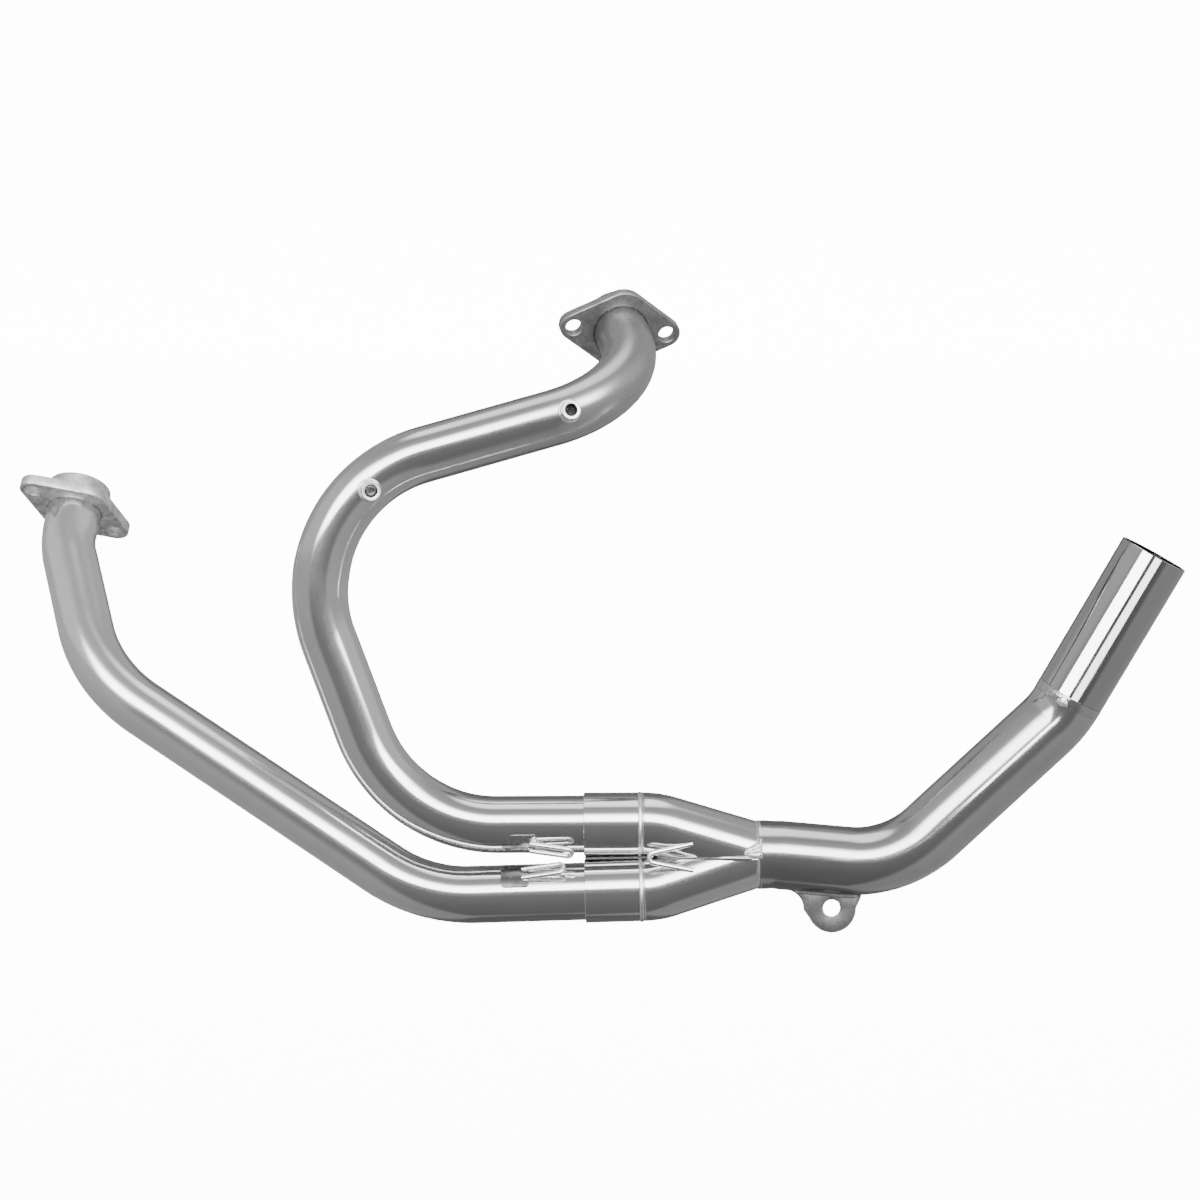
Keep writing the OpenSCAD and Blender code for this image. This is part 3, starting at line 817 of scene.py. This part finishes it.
half = flange["studs"] / 2
lobeY = flange["halfHeight"] - flange["lobe"]
lean = asin((flange["lobe"] - flange["ear"]) / hypot(half, lobeY))
tilt = degrees(atan2(lobeY, half) + lean)
outline = arc(half, 0, flange["ear"], tilt - 90, 90 - tilt, 16)
outline += arc(0, lobeY, flange["lobe"], 90 - tilt, 90 + tilt, 20)
outline += [(-x, -y) for x, y in outline]
outlines = [outline, circle(half, 0, flange["hole"], 40), circle(-half, 0, flange["hole"], 40),
            circle(0, 0, flange["opening"], 96)]
big, small, soft, top = collar["radius"], collar["bore"], collar["round"], collar["reach"]
corner, seat = collar["edge"], collar["seat"]
ring = [(inside, 0), (big - corner, 0), (big, corner), (big, top - soft)]
ring += [(big - 0.3 * soft, top - 0.3 * soft), (big - soft, top)]
ring += [(small + collar["mouth"], top), (small, top - collar["mouth"])]
ring += [(small, seat + corner), (small + corner, seat), (inside, seat)]
for side in sides:
    cast = steel[flange["cast"][side]]
    place = port[side] @ turnZ(flange["roll"][side]) @ shift(0, 0, flange["back"])
    addPlate(side + "PortFlange", place, outlines, flange, cast, [side + "_port_flange"])
    addLathe(side + "PortCollar", port[side] @ shift(0, 0, -seat), ring, cast,
             [side + "_port_collar"])
print("flanges and collars made")

boss = {
    "flats": 13.0, "height": 6.0, "foot": 3.0, "thread": 4.0, "pitch": 1.25, "depth": 0.62, "chamfer": 0.9,
    "drill": 2.5, "deep": 5.0, "around": 96, "rises": (0, 1.5, 3.0, 5.0, 7.0),
}
bossWeld = {
    "width": 1.7, "height": 0.6, "gap": 1.1, "closed": True, "cross": 7, "sink": 0.7, "steps": 260,
    "radius": 7.7,
}
# Where the bosses stand on the rear tube: which bend, how far round it, and the lean round the tube
testPort = {
    "upper": {"bend": 3, "at": 7, "lean": -route["rear"][3][3]},
    "lower": {"bend": 2, "at": 39, "lean": 13},
}


# Distance to a hexagon's side; corners at 0, 60 and 120 degrees, as in the solid
def hexReach(flatRadius, a):
    return flatRadius / cos((a % (pi / 3)) - pi / 6)


# Six-sided boss with a turned chamfer and a cut thread down its bore
def addBoss(name, place, nodes):
    points = []
    turned = boss["flats"] / sqrt(3) * 0.985
    low, top = tube["radius"] - boss["foot"], tube["radius"] + boss["height"]
    rows = [("outside", low + rise, 0.0) for rise in boss["rises"]]
    rows += [("outside", top - boss["chamfer"] * (1 - part), part * 1.05) for part in evenly(0, 1, 5)]
    rows += [("round", top, boss["thread"] + 0.75), ("round", top - 0.08, boss["thread"] + 0.55)]
    rows += [("thread", top - 0.4 - 0.16 * i, 0.0) for i in range(29)]
    rows += [("round", top - boss["deep"], 3.4), ("round", top - boss["deep"], boss["drill"])]
    rows += [("round", low, boss["drill"])]
    for kind, z, value in rows:
        for a in turns(boss["around"]):
            r = value
            if kind == "outside":
                r = min(hexReach(boss["flats"] / 2, a), turned - value)
            if kind == "thread":
                phase = (z / boss["pitch"] + a / (2 * pi)) % 1.0
                r = boss["thread"] - boss["depth"] * (1 - abs(2 * phase - 1)) * 0.95 + 0.1
            points.append(place @ polar(r, a, z))
    faces = gridFaces(len(rows), boss["around"], True)
    piece = addPiece(name, points, faces, steel["boss"], nodes, sharp=28.0)
    piece.data.materials.append(steel["thread"])  # the cut thread gets a near-black steel, painted shade down the bore
    toLocal = place.inverted()
    for polygon in piece.data.polygons:
        local = toLocal @ (polygon.center / mm)
        if hypot(local.x, local.y) < boss["thread"] + 0.3 and local.z > 15:
            polygon.material_index = 1


# Line round a boss's foot on the tube's skin; the tube's axis is the place's X
def footLine(place, settings):
    line = []
    spin = place.to_3x3()
    for a in turns(settings["steps"]):
        x, y = settings["radius"] * cos(a), settings["radius"] * sin(a)
        z = sqrt(tube["radius"] ** 2 - y * y)
        outward = Vector((0.55 * cos(a), 0.55 * sin(a) + 0.6 * y / tube["radius"], 0.8))
        outward, sideways = outward.normalized(), polar(0.8, a, -0.55).normalized()
        line.append((place @ Vector((x, y, z)), spin @ outward, spin @ sideways, 1.0))
    return line


bossPlace = {}
for level, spot in testPort.items():
    place = inBend(tubeStart["rear"], route["rear"], spot["bend"], spot["at"])
    place = place @ turnZ(spot["lean"] - 90) @ turnY(90)
    bossPlace[level] = place
    addBoss(level + "TestBoss", place, [level + "_test_boss"])
    addWeld(level + "TestBossWeld", [footLine(place, bossWeld)], [], bossWeld)

# Near-black disc at the foot of the open upper boss's drilling, painted shade seen down the hole
drilling = {"radius": 2.35, "hub": 0.05, "low": 20.15, "high": 20.45}
hub, rim, low, high = drilling["hub"], drilling["radius"], drilling["low"], drilling["high"]
addLathe("upperBossHoleShade", bossPlace["upper"], [(hub, low), (rim, low), (rim, high), (hub, high)],
         steel["thread"], [])

# Socket plug: slightly domed face, six-sided key hole
plug = {"radius": 3.95, "foot": 17.5, "face": 25.0, "key": 2.1, "keyDepth": 2.2, "around": 72}
big, face = plug["radius"], plug["face"]
rows = [("round", plug["foot"], big), ("round", face - 0.5, big), ("round", face - 0.15, big - 0.2)]
rows += [("round", face, 3.4), ("key", face, 1.12), ("key", face - 0.1, 1.0)]
rows += [("key", face - plug["keyDepth"], 1.0)]
points = []
for kind, z, r in rows:
    for a in turns(plug["around"]):
        rr = r if kind == "round" else hexReach(r * plug["key"], a)
        points.append(bossPlace["lower"] @ polar(rr, a, z))
faces = gridFaces(len(rows), plug["around"], False) + endCaps(len(points), plug["around"])
addPiece("lowerTestPlug", points, faces, steel["plug"], ["lower_test_plug"], sharp=30.0)
print("test bosses made")

pad = {"length": 20.0, "width": 18.0, "thickness": 1.5, "corner": 3.0, "lift": 0.03, "rounding": 0.35}
hook = {"wire": 1.75, "half": 3.5, "length": 31.0, "rise": 11.0, "back": -5, "sunk": 1}
tack = {
    "width": 3.4, "height": 1.3, "gap": 1.5, "cross": 8, "sink": 1.0, "steps": 40,
    "off": 1.5, "lift": 0.1, "from": -5.1, "to": -9.5,
}
# Where each saddle sits: distance from the inlet, lean round the tube and finish; the front saddle's darker
# steel is painted shade
saddle = {
    "front": {"at": 89, "lean": 44, "steel": "paintedShadePad"},
    "rear": {"at": 83, "lean": -40, "steel": "pad"},
}
padTop = tube["radius"] + pad["thickness"]


def addPad(name, place, material, nodes):
    rows, count, points = 21, 25, []
    for z in evenly(-pad["length"] / 2, pad["length"] / 2, rows):
        over = max(0.0, abs(z) - (pad["length"] / 2 - pad["corner"]))
        inset = pad["corner"] - sqrt(max(pad["corner"] ** 2 - over * over, 0.0))
        wide = asin((pad["width"] / 2 - inset) / padTop)
        points += [place @ polar(tube["radius"] + pad["lift"], a, z) for a in evenly(-wide, wide, count)]
    piece = addPiece(name, points, gridFaces(rows, count, False, False), material, nodes)
    thick = piece.modifiers.new("thickness", "SOLIDIFY")
    thick.thickness = pad["thickness"] * mm
    thick.offset = 1.0
    rounded = piece.modifiers.new("edges", "BEVEL")
    rounded.width = pad["rounding"] * mm
    rounded.segments = 2
    rounded.limit_method = "ANGLE"


# Wire loop: two legs welded to the pad, its nose towards the collector
def hookPath(place):
    half, length = hook["half"], hook["length"] - hook["wire"]
    base = place @ shift(padTop + hook["wire"] - hook["sunk"], 0, hook["back"]) @ turnY(90 - hook["rise"])
    leg = [(0, half), (length * 0.45, half), (length - half * 1.6, half)]
    path = leg + arc(length - half, 0, half, 90, -90, 8) + [(x, -y) for x, y in reversed(leg)]
    return [base @ Vector((x, y, 0)) for x, y in path]


for side, spot in saddle.items():
    place = inlet[side] @ shift(0, 0, spot["at"]) @ turnZ(spot["lean"] - 90)
    spin = place.to_3x3()
    addPad(side + "HookSaddle", place, steel[spot["steel"]], [side + "_hook_saddle"])
    addWire(side + "HookLoop", hookPath(place), hook["wire"], [side + "_hook_loop"])
    lines = []
    for way in (1, -1):
        line = []
        for z in evenly(tack["from"], tack["to"], tack["steps"]):
            foot = place @ Vector((padTop + tack["lift"], way * (hook["half"] + tack["off"]), z))
            outward = spin @ Vector((0.8, way * 0.6, 0))
            sideways = spin @ Vector((-0.6, way * 0.8, 0))
            line.append((foot, outward.normalized(), sideways.normalized(), 1.0))
        lines.append(line)
    addWeld(side + "HookTack", lines, [], tack)

# Collector hook: its nose stands off the skin and its legs spread onto the front leg
nose = {"place": (4, -20.5, 1.5), "half": 3.5, "spread": 12, "legs": 28.0}
noseFrame = collectorFrame @ shift(*nose["place"]) @ turnX(90)
spread = radians(nose["spread"])
leg = []
for d in evenly(nose["legs"], 0, 4):
    leg.append((nose["half"] * (1 - sin(spread)) + d * cos(spread),
                nose["half"] * cos(spread) + d * sin(spread)))
bow = arc(nose["half"], 0, nose["half"], 90 + nose["spread"], 270 - nose["spread"], 8)[1:-1]
path = leg + bow + [(x, -y) for x, y in reversed(leg)]
addWire("collectorHook", [noseFrame @ Vector((x, y, 0)) for x, y in path], hook["wire"], ["collector_hook"])
print("spring hooks made")

stage = {
    "floor": -0.24, "back": 4.6, "sweep": 1.2, "width": 12.0, "front": -6.0, "top": 6.0, "middle": -0.16,
    "shade": 0.9, "glow": 8.0,
}


def addStage():
    turnFrom = stage["back"] - stage["sweep"]
    rows = [(stage["front"], stage["floor"]), (turnFrom, stage["floor"])]
    rows += arc(turnFrom, stage["floor"] + stage["sweep"], stage["sweep"], -90, 0, 16)[1:]
    rows.append((stage["back"], stage["top"]))
    points = []
    for y, z in rows:
        points += [(stage["middle"] + way * stage["width"] / 2, y, z) for way in (-1, 1)]
    faces = [(2 * i, 2 * i + 1, 2 * i + 3, 2 * i + 2) for i in range(len(rows) - 1)]
    mesh = bpy.data.meshes.new("paleFloor")
    mesh.from_pydata(points, [], faces)
    mesh.shade_smooth()
    material, _, shader = newMaterial("paleSweep")
    shader.inputs["Base Color"].default_value = grey(stage["shade"])
    shader.inputs["Roughness"].default_value = 0.9
    shader.inputs["Emission Color"].default_value = (1, 1, 1, 1)
    shader.inputs["Emission Strength"].default_value = stage["glow"]
    mesh.materials.append(material)
    sweep = toScene("paleFloor", mesh)
    sweep.visible_glossy = False


addStage()

# Studio seen by the metal: azimuth is measured from the camera's side, to the right
room = {"floor": 0.38, "horizon": 0.6, "ceiling": 0.52, "open": 4.0}
cards = {
    "darkFloor": {"azimuth": (-38, 32), "elevation": (-95, 5), "soft": (9, 9), "cut": 0.55},
    "darkBack": {"azimuth": (-160, 160), "elevation": (-95, 58), "soft": (8, 8), "cut": 0.6,
                 "outside": True},
    "wideGlow": {"azimuth": (-110, 110), "elevation": (14, 50), "soft": (5, 12), "add": 0.3},
    "frontStrip": {"azimuth": (-40, 48), "elevation": (15, 38), "soft": (1.5, 9), "add": 11.0},
    "topPanel": {"azimuth": (-181, 181), "elevation": (72, 95), "soft": (5, 5), "add": 2.3},
}


def addWorld():
    world = bpy.data.worlds.new("studio")
    world.use_nodes = True
    bpy.context.scene.world = world
    tree = world.node_tree
    tree.nodes.clear()
    parts = node(tree, "ShaderNodeSeparateXYZ")
    tree.links.new(node(tree, "ShaderNodeTexCoord").outputs["Generated"], parts.inputs[0])
    x, y, z = parts.outputs
    toDegrees = 180 / pi
    elevation = maths(tree, "MULTIPLY", maths(tree, "ARCSINE", z, 0.0), toDegrees)
    azimuth = maths(tree, "ARCTAN2", x, maths(tree, "MULTIPLY", y, -1.0))
    azimuth = maths(tree, "MULTIPLY", azimuth, toDegrees)

    def between(source, low, high, softLow, softHigh):
        rising = ranged(tree, source, low - softLow, low + softLow, 0.0, 1.0, "SMOOTHSTEP")
        falling = ranged(tree, source, high - softHigh, high + softHigh, 1.0, 0.0, "SMOOTHSTEP")
        return maths(tree, "MULTIPLY", rising, falling)

    below = ranged(tree, z, -1.0, 0.0, room["floor"], room["horizon"])
    total = maths(tree, "ADD", below, ranged(tree, z, 0.0, 1.0, 0.0, room["ceiling"] - room["horizon"]))
    for card in cards.values():
        low, high = card["soft"]
        wide = between(azimuth, *card["azimuth"], high, high)
        if card.get("outside"):
            wide = maths(tree, "SUBTRACT", 1.0, wide)
        area = maths(tree, "MULTIPLY", between(elevation, *card["elevation"], low, high), wide)
        if "cut" in card:
            left = maths(tree, "SUBTRACT", 1.0, maths(tree, "MULTIPLY", area, card["cut"]))
            total = maths(tree, "MULTIPLY", total, left)
        else:
            total = maths(tree, "ADD", total, maths(tree, "MULTIPLY", area, card["add"]))
    studio = node(tree, "ShaderNodeBackground")
    tree.links.new(total, studio.inputs["Strength"])
    plain = node(tree, "ShaderNodeBackground")
    plain.inputs["Color"].default_value = (1, 1, 1, 1)
    plain.inputs["Strength"].default_value = room["open"]
    mix = node(tree, "ShaderNodeMixShader")
    tree.links.new(node(tree, "ShaderNodeLightPath").outputs["Is Glossy Ray"], mix.inputs[0])
    tree.links.new(plain.outputs[0], mix.inputs[1])
    tree.links.new(studio.outputs[0], mix.inputs[2])
    tree.links.new(mix.outputs[0], node(tree, "ShaderNodeOutputWorld").inputs[0])


addWorld()

camera = {"place": (-0.16205, -1.5, 0.2156), "lens": 64.286, "sensor": 36.0, "near": 0.05, "far": 30}
lens = bpy.data.cameras.new("view")
lens.sensor_width = camera["sensor"]
lens.sensor_height = camera["sensor"]
lens.lens = camera["lens"]
lens.clip_start = camera["near"]
lens.clip_end = camera["far"]
eye = toScene("view", lens)
eye.location = camera["place"]
eye.rotation_euler = (radians(90), 0, 0)
bpy.context.scene.camera = eye

# Soft strips that each light only one polished tube; a band is two heights on the tube and a radiance
strips = {
    "tail": {"reach": 0.6, "long": 1.3, "ahead": 0.0, "bands": ((0.31, 0.015, 16.0), (-0.08, -0.27, 7.0))},
    "outlet": {"reach": 0.6, "long": 0.26, "ahead": 0.1, "bands": ((-0.045, -0.105, 12.0),)},
}


def addStrips(label, piece, place, settings):
    only = bpy.data.collections.new(label + "Only")
    only.objects.link(piece)
    middle = place.translation * mm
    axis = axisOf(place).normalized()
    sight = (middle - Vector(camera["place"])).normalized()
    facing = -(sight - axis * sight.dot(axis)).normalized()
    across = axis.cross(facing)
    if across.z < 0:
        across = -across
    for index, (high, low, radiance) in enumerate(settings["bands"]):
        ends = []
        for height in (high, low):
            normal = facing * sqrt(1 - height * height) + across * height
            ends.append(middle + (sight - 2 * sight.dot(normal) * normal) * settings["reach"])
        width = (ends[1] - ends[0]).length
        xAxis = (ends[1] - ends[0]).normalized()
        yAxis = (axis - xAxis * axis.dot(xAxis)).normalized()
        zAxis = xAxis.cross(yAxis)
        centre = (ends[0] + ends[1]) / 2 + axis * settings["ahead"]
        if zAxis.dot(centre - middle) < 0:
            xAxis, zAxis = -xAxis, -zAxis
        strip = bpy.data.lights.new("%sStrip%d" % (label, index + 1), "AREA")
        strip.shape = "RECTANGLE"
        strip.size = width
        strip.size_y = settings["long"]
        strip.energy = radiance * pi * width * settings["long"]
        made = toScene(strip.name, strip)
        made.matrix_world = shift(*centre) @ Matrix((xAxis, yAxis, zAxis)).transposed().to_4x4()
        made.light_linking.receiver_collection = only


addStrips("tail", tail, tailStart @ shift(0, 0, 62), strips["tail"])
rise = outletStart @ along(route["outlet"], 2) @ shift(0, 0, route["outlet"][2][0] / 2)
addStrips("outlet", outlet, rise, strips["outlet"])

# Front fill that reaches the small fittings only, and a soft lamp above everything
fitting = {
    "place": (-0.16, -1.35, 0.45), "size": 0.7, "tilt": 80, "radiance": 14.0,
    "names": ("Boss", "Weld", "Hook", "Tack"),
    "shaded": ("hangerWeld", "frontHookSaddle", "upperTestBossWeld", "lowerTestBossWeld", "tailWeld",
               "collectorSeamWeld"),
}
fill = {"place": (-0.16, -1.2, 2.4), "size": 2.0, "tilt": 25, "power": 22.0}


def addLamp(name, settings, power):
    source = bpy.data.lights.new(name, "AREA")
    source.size = settings["size"]
    source.energy = power
    lamp = toScene(name, source)
    lamp.location = settings["place"]
    lamp.rotation_euler = (radians(settings["tilt"]), 0, 0)
    return lamp


small = bpy.data.collections.new("smallFittings")
for made in bpy.context.scene.collection.objects:
    wanted = any(word in made.name for word in fitting["names"]) and made.name not in fitting["shaded"]
    if made.type == "MESH" and wanted:
        small.objects.link(made)
lamp = addLamp("fittingFill", fitting, fitting["radiance"] * pi * fitting["size"] ** 2)
lamp.light_linking.receiver_collection = small
lamp = addLamp("softTop", fill, fill["power"])
lamp.visible_glossy = False
print("stage, lights and camera set")
